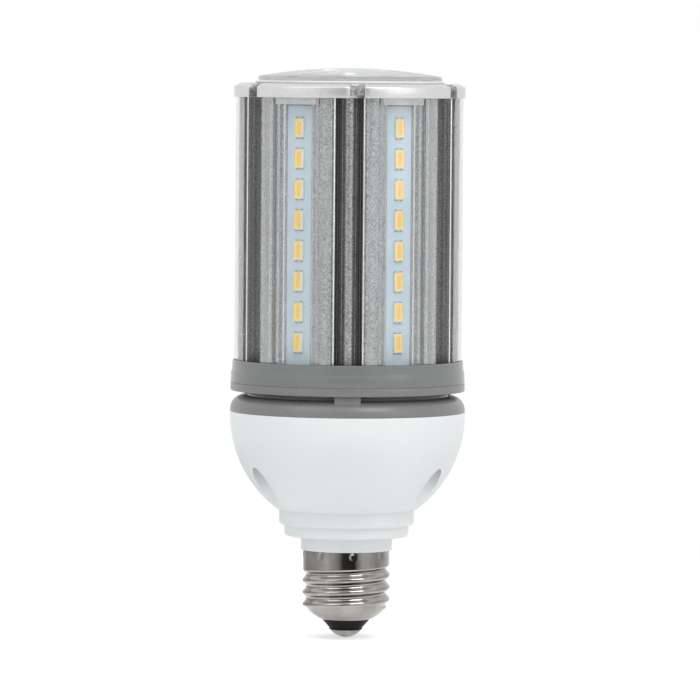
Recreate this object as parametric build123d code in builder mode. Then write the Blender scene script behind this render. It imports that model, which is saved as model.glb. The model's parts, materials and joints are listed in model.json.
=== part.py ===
from build123d import *
from math import asin, cos, degrees, isclose, radians, sin, sqrt
import os

# LED lamp with a medium screw base, in millimetres.
# The axis of the lamp is Z, the tip of the base is at the origin, and the front is -Y.

# Screw base
contact_radius = 4.7
contact_height = 2.3
shank_radius = 1.5
shank_stub = 0.6
foot_flare = 0.2
foot_height = 0.5
insulator_height = 3.3
insulator_plug_height = 1.2
insulator_inset = 0.2
insulator_clearance = 0.12
shell_height = 20.7
shell_wall = 0.5
shell_lip_width = 0.5
toe_width = 1.9
toe_height = 1.2
heel_width = 2.1
heel_height = 2.8
skirt_step = 0.2
skirt_height = 4.9
skirt_draft = 0.6
thread_pitch = 3.629
thread_crest_radius = 13.1
thread_depth = 1.1
thread_crest_width = 0.9
thread_root_width = 2.7
thread_first_rise = 1.3
thread_trim = 1.0
seam_angle = 200
punch_count = 8
punch_turn = 8
punch_drop = 1.4
punch_radius = 2.2
punch_depth = 0.35

# White driver housing
lamp_radius = 35.0
housing_wall = 2.0
spigot_length = 12.5
spigot_clearance = 0.12
spigot_wall = 1.6
neck_step = 0.7
neck_height = 4.1
lower_flange_width = 4.9
lower_flange_height = 3.4
upper_flange_step = 1.6
upper_flange_height = 4.7
flange_rounding = 1.0
bowl_foot_step = 0.8
rim_height = 1.0
pocket_room = 0.9
pocket_depth_below_rim = 14.0
boss_wall = 1.4
boss_floor = 2.4
cavity_angles = (54, 38, 20)

# Grey lid and collars
lid_height = 4.8
lid_land = 0.6
lid_thickness = 2.0
tongue_depth = 3.0
tongue_wall = 1.5
tongue_clearance = 0.2
post_wall = 1.35
step_land = 0.8
step_height = 0.7
key_width = 7.7
key_reach = 3.6
collar_inset = 0.1
collar_base_height = 2.4
groove_rise = 0.8
collar_wall = 0.95
collar_taper = 0.3
collar_height = 6.7
collar_floor = 1.5
collar_edge = 0.35
collar_bore_margin = 3.5
wire_hole_radius = 5.0

# Heat sink
panel_count = 6
panel_width = 24.9
corner_step = 3.7
groove_step = 1.6
groove_bead_radius = 2.45
groove_bead_rise = 0.9
sink_length = 83.2
core_wall = 2.9
cover_channel_width = 16.2
shoulder_depth = 1.1
board_lip_width = 2.25
board_lip_rise = 0.7
board_lip_overlap = 1.05
slit_width = 0.5
slit_depth = 0.4
slit_pitch = 1.3
channel_wall = 1.9
channel_inset = 3.5
web_overlap = 1.0

# LED strips
board_width = 10.4
board_thickness = 1.0
board_clearance = 0.1
board_foot_gap = 1.2
board_head_gap = 2.3
led_count = 8
first_led_height = 10.2
last_led_gap = 6.5
led_length = 5.6
led_width = 3.0
led_height = 0.85
led_rim = 0.35
led_cup_depth = 0.35
phosphor_sink = 0.05

# Clear covers
cover_wall = 1.0
cover_leg_width = 0.9
cover_clearance = 0.1
cover_collar_clearance = 0.15

# Cap and top lens
cap_overhang = 0.6
cap_height = 4.2
cap_floor = 2.0
cap_chamfer_width = 1.9
cap_chamfer_height = 1.0
cap_rim_width = 7.0
cap_twist = 3.6
notch_width = 4.4
notch_depth = 3.1
notch_overrun = 1.0
notch_relief = 0.8
notch_relief_depth = 2.3
rib_width = 11.0
rib_gap = 1.4
rib_thickness = 0.8
rib_height = 2.0
lens_clearance = 0.1
lens_wall = 1.6
lens_rim_height = 2.1
lens_crown = 2.4
lens_edge = 0.5
top_led_count = 8
top_led_margin = 3.2

# Screws
screw_radius = 1.5
screw_clearance = 0.15
thread_clearance = 0.05
screw_head_step = 1.2
screw_head_height = 1.7
screw_grip = 8.0
screw_count = 3
housing_screw_angle = 90
screw_tip_gap = 0.5
head_clearance = 0.3

# Driver inside the housing
driver_board_margin = 2.0
driver_board_thickness = 1.6
lead_radius = 0.7
lead_spacing = 4.0
lead_room = 1.5
neutral_lead_drop = 2.0
neutral_bend_radius = 2.0
lead_end_gap = 0.1
core_length = 18.0
core_depth = 15.0
core_height = 9.0
coil_length = 13.0
coil_depth = 11.0
coil_height = 12.0
transformer_circle = 12.0
capacitor_radius = 5.0
capacitor_height = 12.0
capacitor_angle = 230
capacitor_circle = 13.0
capacitor_edge = 0.8
choke_radius = 5.5
choke_waist = 3.6
choke_height = 8.0
choke_flange = 1.6
choke_angle = 120
choke_circle = 13.5

# Levels along the axis, from the tip up
shell_bottom = contact_height + insulator_height
thread_bottom = shell_bottom + toe_height + heel_height
shell_top = shell_bottom + shell_height
skirt_bottom = shell_top - skirt_height
lower_flange_bottom = shell_top + neck_height
upper_flange_bottom = lower_flange_bottom + lower_flange_height
bowl_bottom = upper_flange_bottom + upper_flange_height

# Radii of the screw shell and of what sits on and in it
thread_root_radius = thread_crest_radius - thread_depth
skirt_radius = thread_crest_radius - skirt_step
shell_inner_radius = thread_root_radius - shell_wall
toe_radius = thread_root_radius - heel_width
shell_lip_radius = toe_radius - toe_width - shell_lip_width
insulator_plug_radius = toe_radius - shell_wall - insulator_inset
foot_radius = contact_radius + foot_flare
spigot_radius = shell_inner_radius - spigot_clearance
spigot_bottom = shell_top - spigot_length
cable_bore = spigot_radius - spigot_wall
neutral_lead_offset = cable_bore - lead_radius - lead_room
neck_radius = skirt_radius + neck_step
lower_flange_radius = neck_radius + lower_flange_width
upper_flange_radius = lower_flange_radius + upper_flange_step
bowl_foot_radius = upper_flange_radius + bowl_foot_step

# Levels of the bowl, the collars, the heat sink and the cap
equator = bowl_bottom + sqrt(lamp_radius**2 - bowl_foot_radius**2)
rim = equator + rim_height
pocket_ceiling = rim - pocket_depth_below_rim
boss_top = pocket_ceiling + boss_floor
driver_board_top = boss_top + driver_board_thickness
lid_top = rim + lid_height
step_top = lid_top + step_height
lid_ceiling = step_top - lid_thickness
seam = step_top + groove_rise + collar_base_height
sink_bottom = seam + collar_floor
sink_top = sink_bottom + sink_length
cap_floor_top = sink_top + cap_floor
cap_top = sink_top + cap_height
lens_rim_top = cap_top + lens_rim_height
lens_top = lens_rim_top + lens_crown

# Screw holes and the circles that the screws stand on
screw_hole_radius = screw_radius + screw_clearance
tapped_hole_radius = screw_radius + thread_clearance
screw_head_radius = screw_radius + screw_head_step
pocket_radius = screw_head_radius + pocket_room
post_radius = screw_hole_radius + post_wall
cavity_radius = lamp_radius - housing_wall
housing_screw_circle = cavity_radius - pocket_radius - boss_wall
driver_board_radius = housing_screw_circle + driver_board_margin

# Radii of the lid and the collars
tongue_radius = cavity_radius - tongue_clearance
lid_inner_radius = tongue_radius - tongue_wall
lid_rounding = lid_height - lid_land
step_radius = lamp_radius - lid_rounding - step_land
key_angle = 2 * degrees(asin(key_width / 2 / (step_radius + key_reach)))
collar_radius = lamp_radius - collar_inset
collar_top_radius = collar_radius - collar_taper
collar_inner_radius = collar_radius - collar_wall

# Distances of the sides from the axis, from the covers in to the core
cover_apothem = collar_inner_radius - cover_collar_clearance
panel_apothem = cover_apothem - corner_step
land_radius = sqrt(panel_apothem**2 + (panel_width / 2) ** 2)
cover_half = cover_channel_width / 2 - cover_clearance
cover_edge_apothem = sqrt(land_radius**2 - cover_half**2)
cover_crown = cover_apothem - cover_edge_apothem
cover_radius = (cover_half**2 + cover_crown**2) / (2 * cover_crown)
cover_centre = cover_apothem - cover_radius
groove_apothem = panel_apothem - groove_step
groove_bead_circle = groove_apothem + groove_bead_rise - groove_bead_radius
shoulder_apothem = panel_apothem - shoulder_depth
board_lip_apothem = shoulder_apothem + board_lip_rise
board_mouth = board_width - 2 * board_lip_overlap
board_lip_end = board_mouth / 2 + board_lip_width
board_slot_half = board_width / 2 + board_clearance
board_face = shoulder_apothem - board_clearance
board_back = board_face - board_thickness
core_radius = board_back - core_wall
sink_screw_circle = core_radius - channel_inset
collar_bore = sink_screw_circle - collar_bore_margin

# Places of the LEDs along each strip
board_bottom = sink_bottom + board_foot_gap
board_length = sink_length - board_foot_gap - board_head_gap
led_pitch = (board_length - first_led_height - last_led_gap) / (led_count - 1)
board_middle = board_bottom + first_led_height + led_pitch * (led_count - 1) / 2

# Radii of the cap, the lens and the top board
cap_radius = cover_apothem + cap_overhang
notch_root_radius = cap_radius - notch_depth
rib_radius = cover_apothem - cover_wall - rib_gap
lens_radius = cap_radius - cap_rim_width
lens_recess_radius = lens_radius + lens_clearance
lens_inner_radius = lens_radius - lens_wall
top_board_radius = sink_screw_circle - screw_head_radius - head_clearance
top_led_circle = top_board_radius - led_length / 2 - top_led_margin


def panel_plane(index):
    """Plane of one side of the lamp: x runs across the side, y up, and z straight out."""
    angle = radians(360 / panel_count * index)
    return Plane(origin=(0, 0, 0), x_dir=(-sin(angle), cos(angle), 0), z_dir=(cos(angle), sin(angle), 0))


def section_plane(index, height):
    """Level plane with x straight out through the middle of one side."""
    angle = radians(360 / panel_count * index)
    return Plane(origin=(0, 0, height), x_dir=(cos(angle), sin(angle), 0), z_dir=(0, 0, 1))


def bowl_point(angle):
    """Point on the inner face of the bowl, by its angle below the equator."""
    return (cavity_radius * cos(radians(angle)), equator - cavity_radius * sin(radians(angle)))


def collar_underside(radius):
    """Height of the cone under the lower grey ring."""
    return step_top + groove_rise * (radius - step_radius) / (collar_radius - step_radius)


# Tip contact: a domed rivet with its shank up through the insulator
shank_top = shell_bottom + shell_wall + toe_height + insulator_plug_height + shank_stub
with BuildPart() as base_contact:
    with BuildSketch(Plane.XZ):
        with BuildLine():
            dome = TangentArc((0, 0), (contact_radius, contact_height), tangent=(1, 0))
            Polyline(
                dome @ 1,
                (shank_radius, contact_height),
                (shank_radius, shank_top),
                (0, shank_top),
                (0, 0),
            )
        make_face()
    revolve(axis=Axis.Z)

# Insulator: a dark plug that fills the toe of the shell
toe_slope = toe_height / (toe_radius - shell_lip_radius - shell_lip_width)
plug_bottom = shell_bottom + shell_wall + insulator_clearance
plug_edge = plug_bottom + toe_slope * (insulator_plug_radius - shell_lip_radius) + insulator_clearance
plug_top = shank_top - shank_stub
lip_bore = shell_lip_radius - insulator_clearance
with BuildPart() as base_insulator:
    with BuildSketch(Plane.XZ):
        with BuildLine():
            Polyline(
                (shank_radius, contact_height),
                (foot_radius, contact_height),
                (foot_radius, contact_height + foot_height),
                (lip_bore, shell_bottom),
                (lip_bore, plug_bottom + insulator_clearance),
                (insulator_plug_radius, plug_edge),
                (insulator_plug_radius, plug_top),
                (shank_radius, plug_top),
                close=True,
            )
        make_face()
    revolve(axis=Axis.Z)

# Screw shell: a drawn cup of thin sheet, open at the tip, with a rolled right-hand thread
ridge_bottom = thread_bottom + thread_first_rise - thread_pitch
ridge_top = skirt_bottom + thread_root_width / 2
runout_bottom = thread_bottom - shell_wall / 2
runout_top = skirt_bottom - skirt_draft / 2
trim_radius = thread_crest_radius + thread_trim
seam_plane = Plane.XZ.rotated((0, 0, seam_angle))
with BuildPart() as thread_ridge:
    with BuildLine():
        ridge_path = Helix(
            pitch=thread_pitch,
            height=ridge_top - ridge_bottom,
            radius=thread_root_radius,
            center=(0, 0, ridge_bottom),
        )
    with BuildSketch(Plane(origin=ridge_path @ 0, x_dir=(1, 0, 0), z_dir=ridge_path % 0)):
        with BuildLine():
            Polyline(
                (-shell_wall / 2, -thread_root_width / 2),
                (0, -thread_root_width / 2),
                (thread_depth, -thread_crest_width / 2),
                (thread_depth, thread_crest_width / 2),
                (0, thread_root_width / 2),
                (-shell_wall / 2, thread_root_width / 2),
                close=True,
            )
        make_face()
    sweep(is_frenet=True)
    with BuildSketch(seam_plane):
        with BuildLine():
            Polyline(
                (shell_inner_radius, runout_bottom),
                (thread_root_radius, runout_bottom),
                (trim_radius, runout_bottom + trim_radius - thread_root_radius),
                (trim_radius, runout_top),
                (shell_inner_radius, runout_top),
                close=True,
            )
        make_face()
    revolve(axis=Axis.Z, mode=Mode.INTERSECT)

with BuildPart() as base_shell:
    with BuildSketch(seam_plane):
        with BuildLine():
            Polyline(
                (shell_lip_radius, shell_bottom),
                (shell_lip_radius + shell_lip_width, shell_bottom),
                (toe_radius, shell_bottom + toe_height),
                (thread_root_radius, thread_bottom),
                (thread_root_radius, skirt_bottom - skirt_draft),
                (skirt_radius, skirt_bottom),
                (skirt_radius, shell_top),
            )
            offset(amount=shell_wall, side=Side.LEFT, kind=Kind.INTERSECTION)
        make_face()
    revolve(axis=Axis.Z)
    add(thread_ridge.part)
    with Locations((0, 0, shell_top - punch_drop)):
        with PolarLocations(skirt_radius, punch_count, start_angle=punch_turn):
            Cone(
                bottom_radius=punch_radius,
                top_radius=0,
                height=2 * punch_depth,
                rotation=(0, -90, 0),
                mode=Mode.SUBTRACT,
            )

# Driver housing: a thin-walled white bowl on a stepped neck, with three screw pockets
with BuildPart() as housing_cavity:
    with BuildSketch(Plane.XZ):
        with BuildLine():
            Polyline(
                (0, spigot_bottom),
                (cable_bore, spigot_bottom),
                (cable_bore, bowl_bottom),
                *[bowl_point(angle) for angle in cavity_angles],
                (cavity_radius, rim - tongue_depth - tongue_clearance),
                (cavity_radius, rim),
                (0, rim),
                close=True,
            )
        make_face()
    revolve(axis=Axis.Z)
    with BuildSketch(Plane.XY.offset(bowl_bottom)):
        with PolarLocations(housing_screw_circle, screw_count, start_angle=housing_screw_angle):
            Circle(pocket_radius + boss_wall)
    extrude(amount=boss_top - bowl_bottom, mode=Mode.SUBTRACT)

with BuildPart() as driver_housing:
    with BuildSketch(Plane.XZ):
        with BuildLine():
            bowl = TangentArc((lamp_radius, equator), (bowl_foot_radius, bowl_bottom), tangent=(0, -1))
            Polyline(
                bowl @ 1,
                (upper_flange_radius, bowl_bottom),
                (upper_flange_radius, upper_flange_bottom),
                (lower_flange_radius, upper_flange_bottom),
                (lower_flange_radius, lower_flange_bottom),
                (neck_radius, lower_flange_bottom),
                (neck_radius, shell_top),
                (spigot_radius, shell_top),
                (spigot_radius, spigot_bottom),
                (0, spigot_bottom),
                (0, rim),
                (lamp_radius, rim),
                bowl @ 0,
            )
        make_face()
    revolve(axis=Axis.Z)
    rings = edges().filter_by(GeomType.CIRCLE)
    for flange_radius in (lower_flange_radius, upper_flange_radius):
        flange_rings = rings.filter_by(lambda ring: isclose(ring.radius, flange_radius))
        fillet(flange_rings.sort_by(Axis.Z)[0], radius=flange_rounding)
    add(housing_cavity.part, mode=Mode.SUBTRACT)
    with BuildSketch(Plane.XY.offset(bowl_bottom)):
        with PolarLocations(housing_screw_circle, screw_count, start_angle=housing_screw_angle):
            Circle(pocket_radius)
    extrude(amount=pocket_ceiling - bowl_bottom, mode=Mode.SUBTRACT)
    with BuildSketch(Plane.XY.offset(pocket_ceiling)):
        with PolarLocations(housing_screw_circle, screw_count, start_angle=housing_screw_angle):
            Circle(screw_hole_radius)
    extrude(amount=boss_floor, mode=Mode.SUBTRACT)

# Driver lid: closes the bowl, clamps the board with three posts and carries the keys
with BuildPart() as driver_lid:
    with BuildSketch(Plane.XZ):
        with BuildLine():
            Polyline(
                (lid_inner_radius, rim - tongue_depth),
                (tongue_radius, rim - tongue_depth),
                (tongue_radius, rim),
                (lamp_radius, rim),
                (lamp_radius, lid_top),
                (step_radius, lid_top),
                (step_radius, step_top),
                (wire_hole_radius, step_top),
                (wire_hole_radius, lid_ceiling),
                (lid_inner_radius, lid_ceiling),
                close=True,
            )
        make_face()
    revolve(axis=Axis.Z)
    outer_rings = edges().filter_by(GeomType.CIRCLE).group_by(SortBy.RADIUS)[-1]
    fillet(outer_rings.sort_by(Axis.Z)[-1], radius=lid_rounding)
    for key_index in range(screw_count):
        key_middle = housing_screw_angle + 180 + 360 / screw_count * key_index
        key_turn = Plane.XZ.rotated((0, 0, key_middle - key_angle / 2))
        with BuildSketch(key_turn):
            with BuildLine():
                Polyline(
                    (step_radius - step_height, lid_top - lid_thickness / 2),
                    (step_radius + key_reach, lid_top - lid_thickness / 2),
                    (step_radius + key_reach, collar_underside(step_radius + key_reach)),
                    (step_radius, step_top),
                    (step_radius - step_height, step_top),
                    close=True,
                )
            make_face()
        revolve(axis=Axis.Z, revolution_arc=key_angle)
    with BuildSketch(Plane.XY.offset(driver_board_top)):
        with PolarLocations(housing_screw_circle, screw_count, start_angle=housing_screw_angle):
            Circle(post_radius)
    extrude(amount=lid_ceiling - driver_board_top)
    with BuildSketch(Plane.XY.offset(driver_board_top)):
        with PolarLocations(housing_screw_circle, screw_count, start_angle=housing_screw_angle):
            Circle(screw_hole_radius)
    extrude(amount=step_top - driver_board_top, mode=Mode.SUBTRACT)

# Lower grey ring: the plate between the lid and the heat sink
with BuildPart() as collar_base:
    with BuildSketch(Plane.XZ):
        with BuildLine():
            Polyline(
                (wire_hole_radius, step_top),
                (step_radius, step_top),
                (collar_radius, step_top + groove_rise),
                (collar_radius, seam),
                (wire_hole_radius, seam),
                close=True,
            )
        make_face()
    revolve(axis=Axis.Z)
    with BuildSketch(Plane.XY.offset(step_top)):
        with PolarLocations(housing_screw_circle, screw_count, start_angle=housing_screw_angle):
            Circle(tapped_hole_radius)
        with PolarLocations(sink_screw_circle, screw_count):
            Circle(screw_hole_radius)
    extrude(amount=seam - step_top, mode=Mode.SUBTRACT)
    with BuildSketch(Plane.XY.offset(step_top)):
        with PolarLocations(sink_screw_circle, screw_count):
            Circle(screw_head_radius + head_clearance)
    extrude(amount=screw_head_height, mode=Mode.SUBTRACT)

# Upper grey ring: a shallow cup that holds the feet of the heat sink and the covers
with BuildPart() as collar:
    with BuildSketch(Plane.XZ):
        with BuildLine():
            Polyline(
                (collar_bore, seam),
                (collar_radius, seam),
                (collar_top_radius, seam + collar_height - collar_edge),
                (collar_top_radius - collar_edge, seam + collar_height),
                (collar_inner_radius, seam + collar_height),
                (collar_inner_radius, sink_bottom),
                (collar_bore, sink_bottom),
                close=True,
            )
        make_face()
    revolve(axis=Axis.Z)
    with BuildSketch(Plane.XY.offset(seam)):
        with PolarLocations(sink_screw_circle, screw_count):
            Circle(screw_hole_radius)
    extrude(amount=collar_floor, mode=Mode.SUBTRACT)

# Heat sink: one round extrusion with six channels for boards and covers, six grooves and three screw channels
with BuildPart() as heat_sink:
    with BuildSketch(Plane.XY.offset(sink_bottom)):
        RegularPolygon(groove_apothem, panel_count, major_radius=False)
        RegularPolygon(
            panel_apothem,
            panel_count,
            major_radius=False,
            rotation=180 / panel_count,
            mode=Mode.INTERSECT,
        )
        with PolarLocations(0, panel_count):
            Rectangle(land_radius, panel_width, align=(Align.MIN, Align.CENTER))
        Circle(land_radius, mode=Mode.INTERSECT)
        with PolarLocations(groove_bead_circle, panel_count, start_angle=180 / panel_count):
            Circle(groove_bead_radius)
        Circle(core_radius, mode=Mode.SUBTRACT)
        with PolarLocations(sink_screw_circle, screw_count):
            Circle(screw_radius + channel_wall)
            Rectangle(channel_inset + web_overlap, 2 * screw_radius, align=(Align.MIN, Align.CENTER))
            Circle(tapped_hole_radius, mode=Mode.SUBTRACT)
        with PolarLocations(0, panel_count):
            with Locations((board_lip_apothem, 0)):
                Rectangle(
                    land_radius - board_lip_apothem,
                    cover_channel_width,
                    align=(Align.MIN, Align.CENTER),
                    mode=Mode.SUBTRACT,
                )
            with Locations((shoulder_apothem, cover_channel_width / 2)):
                Rectangle(
                    board_lip_rise,
                    cover_channel_width / 2 - board_lip_end,
                    align=(Align.MIN, Align.MAX),
                    mode=Mode.SUBTRACT,
                )
            with Locations((shoulder_apothem, -cover_channel_width / 2)):
                Rectangle(
                    board_lip_rise,
                    cover_channel_width / 2 - board_lip_end,
                    align=(Align.MIN, Align.MIN),
                    mode=Mode.SUBTRACT,
                )
            with Locations((board_back, 0)):
                Rectangle(
                    board_lip_apothem - board_back,
                    board_mouth,
                    align=(Align.MIN, Align.CENTER),
                    mode=Mode.SUBTRACT,
                )
                Rectangle(
                    shoulder_apothem - board_back,
                    2 * board_slot_half,
                    align=(Align.MIN, Align.CENTER),
                    mode=Mode.SUBTRACT,
                )
            for slit_number in (1, 2):
                slit_apothem = panel_apothem - slit_pitch * slit_number
                with Locations((slit_apothem, panel_width / 2), (slit_apothem, -panel_width / 2)):
                    Rectangle(slit_width, 2 * slit_depth, mode=Mode.SUBTRACT)
    extrude(amount=sink_length)

# LED strips and their clear covers, one of each on every side
led_boards = []
led_packages = []
led_phosphors = []
led_covers = []
for side_index in range(panel_count):
    side = panel_plane(side_index)

    with BuildPart() as led_board:
        with BuildSketch(side.offset(board_back)):
            with Locations((0, board_bottom)):
                Rectangle(board_width, board_length, align=(Align.CENTER, Align.MIN))
        extrude(amount=board_thickness)
    led_boards.append(led_board.part)

    with BuildPart() as package_row:
        with BuildSketch(side.offset(board_face)):
            with Locations((0, board_middle)):
                with GridLocations(0, led_pitch, 1, led_count):
                    Rectangle(led_width, led_length)
        extrude(amount=led_height)
        with BuildSketch(side.offset(board_face + led_height)):
            with Locations((0, board_middle)):
                with GridLocations(0, led_pitch, 1, led_count):
                    Rectangle(led_width - 2 * led_rim, led_length - 2 * led_rim)
        extrude(amount=-led_cup_depth, mode=Mode.SUBTRACT)
    led_packages.append(package_row.part)

    with BuildPart() as phosphor_row:
        with BuildSketch(side.offset(board_face + led_height - led_cup_depth)):
            with Locations((0, board_middle)):
                with GridLocations(0, led_pitch, 1, led_count):
                    Rectangle(led_width - 2 * led_rim, led_length - 2 * led_rim)
        extrude(amount=led_cup_depth - phosphor_sink)
    led_phosphors.append(phosphor_row.part)

    with BuildPart() as led_cover:
        with BuildSketch(section_plane(side_index, sink_bottom)):
            with Locations((cover_centre, 0)):
                Circle(cover_radius)
            with Locations((cover_edge_apothem, 0)):
                Rectangle(
                    cover_radius,
                    2 * cover_radius,
                    align=(Align.MIN, Align.CENTER),
                    mode=Mode.INTERSECT,
                )
            with Locations((shoulder_apothem, 0)):
                Rectangle(
                    cover_edge_apothem - shoulder_apothem,
                    2 * cover_half,
                    align=(Align.MIN, Align.CENTER),
                )
            with BuildSketch(mode=Mode.SUBTRACT):
                with Locations((cover_centre, 0)):
                    Circle(cover_radius - cover_wall)
                with Locations((shoulder_apothem, 0)):
                    Rectangle(
                        cover_radius,
                        2 * (cover_half - cover_leg_width),
                        align=(Align.MIN, Align.CENTER),
                        mode=Mode.INTERSECT,
                    )
        extrude(amount=sink_length)
    led_covers.append(led_cover.part)

# Cap: a turned aluminium ring with six notches, and a rib under each tab that locates a cover
with BuildPart() as top_cap:
    with BuildSketch(Plane.XZ):
        with BuildLine():
            Polyline(
                (wire_hole_radius, sink_top),
                (cap_radius, sink_top),
                (cap_radius, cap_top - cap_chamfer_height),
                (cap_radius - cap_chamfer_width, cap_top),
                (lens_recess_radius, cap_top),
                (lens_recess_radius, cap_floor_top),
                (wire_hole_radius, cap_floor_top),
                close=True,
            )
        make_face()
    revolve(axis=Axis.Z)
    notch_start = 180 / panel_count + cap_twist
    with BuildSketch(Plane.XY.offset(sink_top)):
        with PolarLocations(notch_root_radius, panel_count, start_angle=notch_start):
            Rectangle(notch_depth + notch_overrun, notch_width, align=(Align.MIN, Align.CENTER))
    extrude(amount=cap_height, mode=Mode.SUBTRACT)
    with BuildSketch(Plane.XY.offset(sink_top)):
        with PolarLocations(cap_radius, panel_count, start_angle=notch_start):
            Rectangle(notch_depth + notch_relief_depth, notch_width, align=(Align.MAX, Align.CENTER))
    extrude(amount=notch_relief, mode=Mode.SUBTRACT)
    with BuildSketch(Plane.XY.offset(sink_top)):
        with PolarLocations(rib_radius - rib_thickness / 2, panel_count):
            Rectangle(rib_thickness, rib_width)
    extrude(amount=-rib_height)
    with BuildSketch(Plane.XY.offset(sink_top)):
        with PolarLocations(sink_screw_circle, screw_count):
            Circle(screw_hole_radius)
    extrude(amount=cap_floor, mode=Mode.SUBTRACT)

# Top lens: a shallow clear dome that stands in the recess of the cap
with BuildPart() as top_lens:
    with BuildSketch(Plane.XZ):
        with BuildLine():
            crown = TangentArc((0, lens_top), (lens_radius - lens_edge, lens_rim_top), tangent=(1, 0))
            Polyline(
                crown @ 1,
                (lens_radius, lens_rim_top - lens_edge),
                (lens_radius, cap_floor_top),
                (lens_inner_radius, cap_floor_top),
                (lens_inner_radius, lens_rim_top - lens_wall),
                (0, lens_top - lens_wall),
                crown @ 0,
            )
        make_face()
    revolve(axis=Axis.Z)

# Top board with its LEDs, under the dome
with BuildPart() as top_board:
    with BuildSketch(Plane.XY.offset(cap_floor_top)):
        Circle(top_board_radius)
    extrude(amount=board_thickness)

top_board_face = cap_floor_top + board_thickness
with BuildPart() as top_packages:
    with BuildSketch(Plane.XY.offset(top_board_face)):
        with PolarLocations(top_led_circle, top_led_count):
            Rectangle(led_length, led_width)
    extrude(amount=led_height)
    with BuildSketch(Plane.XY.offset(top_board_face + led_height)):
        with PolarLocations(top_led_circle, top_led_count):
            Rectangle(led_length - 2 * led_rim, led_width - 2 * led_rim)
    extrude(amount=-led_cup_depth, mode=Mode.SUBTRACT)

with BuildPart() as top_phosphor:
    with BuildSketch(Plane.XY.offset(top_board_face + led_height - led_cup_depth)):
        with PolarLocations(top_led_circle, top_led_count):
            Rectangle(led_length - 2 * led_rim, led_width - 2 * led_rim)
    extrude(amount=led_cup_depth - phosphor_sink)

# Screws: each group is three plain screws with round heads
with BuildPart() as housing_screws:
    with BuildSketch(Plane.XY.offset(pocket_ceiling)):
        with PolarLocations(housing_screw_circle, screw_count, start_angle=housing_screw_angle):
            Circle(screw_radius)
    extrude(amount=seam - screw_tip_gap - pocket_ceiling)
    with BuildSketch(Plane.XY.offset(pocket_ceiling)):
        with PolarLocations(housing_screw_circle, screw_count, start_angle=housing_screw_angle):
            Circle(screw_head_radius)
    extrude(amount=-screw_head_height)

with BuildPart() as heat_sink_screws:
    with BuildSketch(Plane.XY.offset(step_top)):
        with PolarLocations(sink_screw_circle, screw_count):
            Circle(screw_head_radius)
    extrude(amount=screw_head_height)
    with BuildSketch(Plane.XY.offset(step_top + screw_head_height)):
        with PolarLocations(sink_screw_circle, screw_count):
            Circle(screw_radius)
    extrude(amount=sink_bottom + screw_grip - step_top - screw_head_height)

with BuildPart() as cap_screws:
    with BuildSketch(Plane.XY.offset(cap_floor_top)):
        with PolarLocations(sink_screw_circle, screw_count):
            Circle(screw_head_radius)
    extrude(amount=screw_head_height)
    with BuildSketch(Plane.XY.offset(cap_floor_top)):
        with PolarLocations(sink_screw_circle, screw_count):
            Circle(screw_radius)
    extrude(amount=-cap_floor - screw_grip)

# Driver: a round board on the three bosses, with its tall parts hanging into the bowl
with BuildPart() as driver_board:
    with BuildSketch(Plane.XY.offset(boss_top)):
        Circle(driver_board_radius)
        with PolarLocations(housing_screw_circle, screw_count, start_angle=housing_screw_angle):
            Circle(screw_hole_radius, mode=Mode.SUBTRACT)
    extrude(amount=driver_board_thickness)

with BuildPart() as transformer:
    with BuildSketch(Plane.XY.offset(boss_top)):
        with Locations((transformer_circle, 0)):
            Rectangle(coil_depth, coil_length)
    extrude(amount=-coil_height)
    with BuildSketch(Plane.XY.offset(boss_top - (coil_height - core_height) / 2)):
        with Locations((transformer_circle, 0)):
            Rectangle(core_depth, core_length)
    extrude(amount=-core_height)

with BuildPart() as capacitor:
    with BuildSketch(Plane.XY.offset(boss_top)):
        with PolarLocations(capacitor_circle, 1, start_angle=capacitor_angle):
            Circle(capacitor_radius)
    extrude(amount=-capacitor_height)
    chamfer(edges().group_by(Axis.Z)[0], length=capacitor_edge)

with BuildPart() as choke:
    with BuildSketch(Plane.XY.offset(boss_top)):
        with PolarLocations(choke_circle, 1, start_angle=choke_angle):
            Circle(choke_waist)
    extrude(amount=-choke_height)
    for flange_top in (boss_top, boss_top - choke_height + choke_flange):
        with BuildSketch(Plane.XY.offset(flange_top)):
            with PolarLocations(choke_circle, 1, start_angle=choke_angle):
                Circle(choke_radius)
        extrude(amount=-choke_flange)

# Leads: one from the tip, one from the shell, and a pair up the core to the top board
with BuildPart() as live_lead:
    with BuildSketch(Plane.XY.offset(shank_top)):
        Circle(lead_radius)
    extrude(amount=boss_top - shank_top)

with BuildPart() as neutral_lead:
    lead_foot = spigot_bottom - neutral_lead_drop
    with BuildLine():
        lead_path = FilletPolyline(
            (-neutral_lead_offset, 0, boss_top),
            (-neutral_lead_offset, 0, lead_foot),
            (-shell_inner_radius + lead_end_gap, 0, lead_foot),
            radius=neutral_bend_radius,
        )
    with BuildSketch(Plane(origin=lead_path @ 0, z_dir=lead_path % 0)):
        Circle(lead_radius)
    sweep()

with BuildPart() as dc_leads:
    with BuildSketch(Plane.XY.offset(driver_board_top)):
        with GridLocations(0, lead_spacing, 1, 2):
            Circle(lead_radius)
    extrude(amount=cap_floor_top - driver_board_top)

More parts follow.
